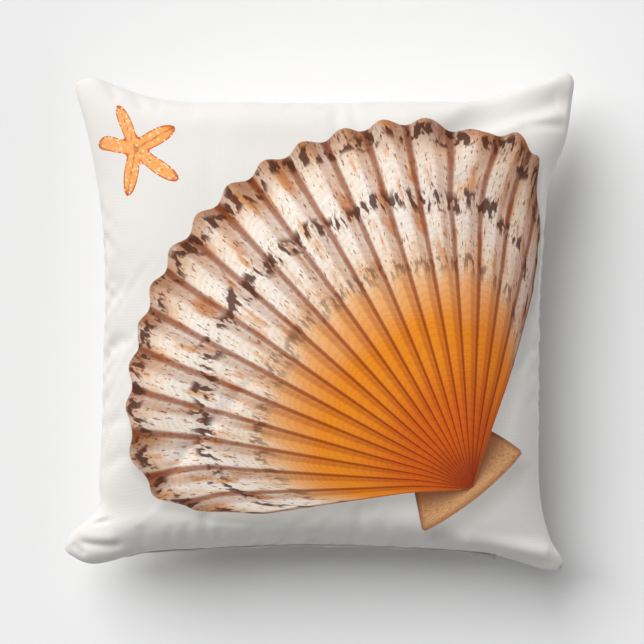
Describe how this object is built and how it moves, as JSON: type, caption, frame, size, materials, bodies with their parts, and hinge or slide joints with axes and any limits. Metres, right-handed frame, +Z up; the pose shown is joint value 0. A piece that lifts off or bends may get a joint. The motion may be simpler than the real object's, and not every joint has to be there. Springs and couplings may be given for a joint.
{
  "type": "throw pillow",
  "caption": "Square knife-edge throw pillow with pinched ears: a printed, zipped fabric cover round a filled insert, lying flat.",
  "frame": {"origin": "middle of the bounding box in plan, on the surface that the pillow lies on", "axes": "+Z up from the back panel to the printed panel, +X to the right of the print, +Y to its top"},
  "size_m": [0.4048, 0.3968, 0.128],
  "materials": {
    "printed_fabric": "woven polyester, printed",
    "plain_fabric": "woven polyester, plain",
    "insert_casing": "non-woven casing",
    "zip_tape": "woven tape",
    "zip_nylon": "nylon coil",
    "painted_zinc": "grey enamel"
  },
  "bodies": {
    "pillow": {"front_panel": "printed_fabric", "back_panel": "plain_fabric", "pillow_insert": "insert_casing", "zip_tape_front": "zip_tape", "zip_tape_back": "zip_tape", "zip_coil_front": "zip_nylon", "zip_coil_back": "zip_nylon", "zip_slider": "painted_zinc"},
    "pull": {"zip_pull": "painted_zinc"}
  },
  "joints": [
    {"name": "pull_swivel", "type": "hinge", "parent": "pillow", "child": "pull", "pos_m": [0.13892, -0.18627, 0.05863], "axis": [0, 0, 1], "range_deg": [0, 155]}
  ]
}
